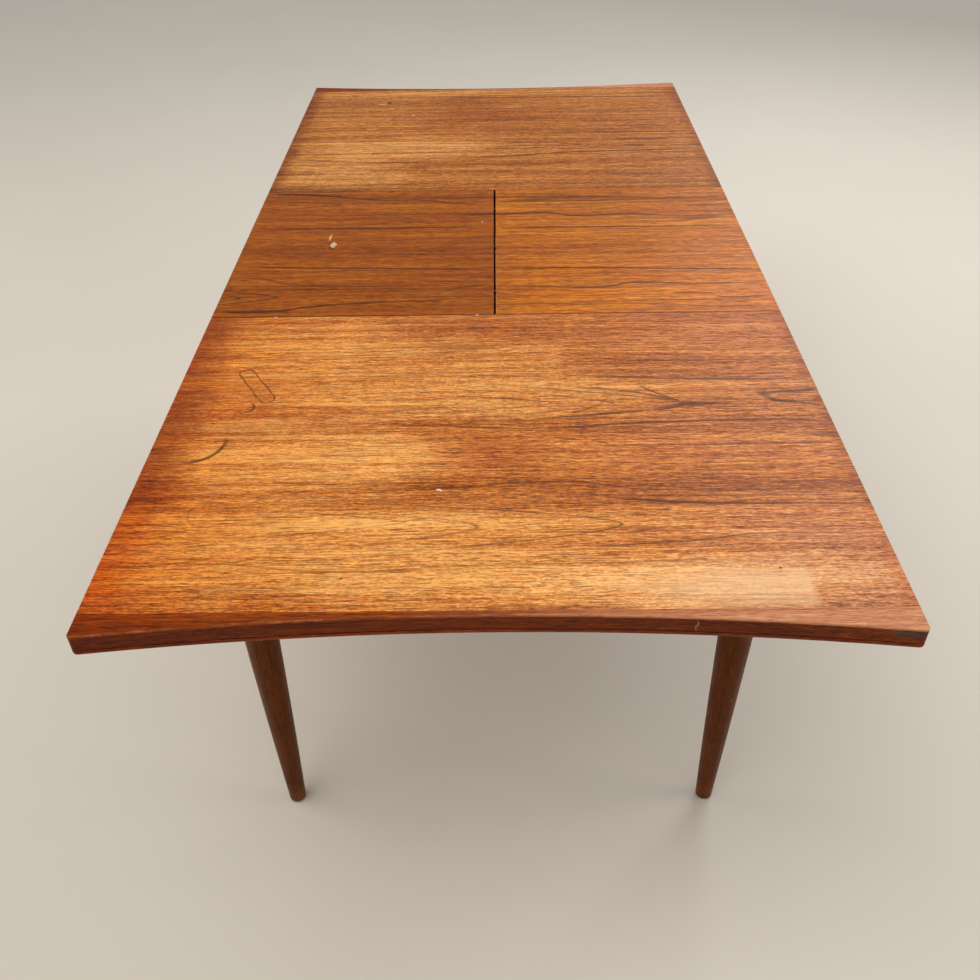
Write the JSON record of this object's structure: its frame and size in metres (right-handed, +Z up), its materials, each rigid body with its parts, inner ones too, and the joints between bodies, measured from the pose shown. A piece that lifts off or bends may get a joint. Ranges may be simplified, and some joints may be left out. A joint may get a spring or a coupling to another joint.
{
  "type": "extending dining table",
  "caption": "Dining table with hollow-curved ends, round tapered legs and sliding tops around a folding centre leaf, shown extended.",
  "frame": {"origin": "on the floor under the middle of the extended table", "axes": "+Z up, +Y along the table's length towards the far end, +X across it to the right"},
  "size_m": [0.9, 1.8806, 0.73],
  "materials": {
    "top_veneer": "worn satin oiled teak veneer",
    "leaf_veneer": "satin oiled teak veneer, little worn",
    "lipping": "satin oiled solid teak",
    "leg_teak": "satin oiled solid teak",
    "rail_teak": "satin oiled solid teak",
    "backing_veneer": "dull backing veneer",
    "beech": "plain planed beech",
    "steel": "dull zinc-plated steel",
    "brass": "darkened brass",
    "glide": "matt nylon"
  },
  "bodies": {
    "frame": {"bearer_far": "beech", "bearer_near": "beech", "corner_braces": "beech", "end_rail_far": "rail_teak", "end_rail_near": "rail_teak", "foot_glides": "glide", "keeper_screws": "steel", "leg_bolts": "steel", "leg_far_left": "leg_teak", "leg_far_right": "leg_teak", "leg_near_left": "leg_teak", "leg_near_right": "leg_teak", "leg_nuts": "steel", "pivot_bushes": "brass", "runner_keepers": "steel", "side_rail_left": "rail_teak", "side_rail_right": "rail_teak"},
    "near_top": {"near_top_batten": "beech", "near_top_board": "backing_veneer", "near_top_end_lipping": "lipping", "near_top_runner_left": "beech", "near_top_runner_right": "beech", "near_top_screws": "steel", "near_top_seam_lipping": "lipping", "near_top_side_lippings": "lipping", "near_top_stop_blocks": "beech", "near_top_veneer": "top_veneer"},
    "far_top": {"far_top_batten": "beech", "far_top_board": "backing_veneer", "far_top_end_lipping": "lipping", "far_top_runner_left": "beech", "far_top_runner_right": "beech", "far_top_screws": "steel", "far_top_seam_lipping": "lipping", "far_top_side_lippings": "lipping", "far_top_stop_blocks": "beech", "far_top_veneer": "top_veneer"},
    "leaf_left": {"leaf_left_board": "backing_veneer", "leaf_left_hinge_lipping": "lipping", "leaf_left_outer_lipping": "lipping", "leaf_left_seam_lippings": "lipping", "leaf_left_veneer": "leaf_veneer", "pivot_blocks": "beech", "pivot_pins": "steel", "pivot_block_screws": "steel", "hinge_barrels_left": "brass", "hinge_screws_left": "brass"},
    "hinge_bridges": {"hinge_bridges": "brass", "hinge_bridge_pins": "brass"},
    "leaf_right": {"leaf_right_board": "backing_veneer", "leaf_right_hinge_lipping": "lipping", "leaf_right_outer_lipping": "lipping", "leaf_right_seam_lippings": "lipping", "leaf_right_veneer": "leaf_veneer", "hinge_barrels_right": "brass", "hinge_screws_right": "brass"}
  },
  "joints": [
    {"name": "near_top_slide", "type": "slide", "parent": "frame", "child": "near_top", "axis": [0, -1, 0], "range_m": [0, 0.025]},
    {"name": "far_top_slide", "type": "slide", "parent": "frame", "child": "far_top", "axis": [0, 1, 0], "range_m": [0, 0.025]},
    {"name": "leaf_flip", "type": "hinge", "parent": "frame", "child": "leaf_left", "pos_m": [-0.1125, 0, 0.691], "axis": [0, 1, 0], "range_deg": [0, 90]},
    {"name": "leaf_fold", "type": "hinge", "parent": "leaf_left", "child": "leaf_right", "pos_m": [0, 0, 0.7306], "axis": [0, -1, 0], "range_deg": [0, 180]},
    {"name": "bridge_turn", "type": "hinge", "parent": "leaf_left", "child": "hinge_bridges", "pos_m": [0, 0, 0.7306], "axis": [0, -1, 0], "range_deg": [0, 90]}
  ],
  "couplings": [
    {"joint": "leaf_fold", "follows": "leaf_flip", "ratio": 2},
    {"joint": "bridge_turn", "follows": "leaf_flip", "ratio": 1}
  ]
}
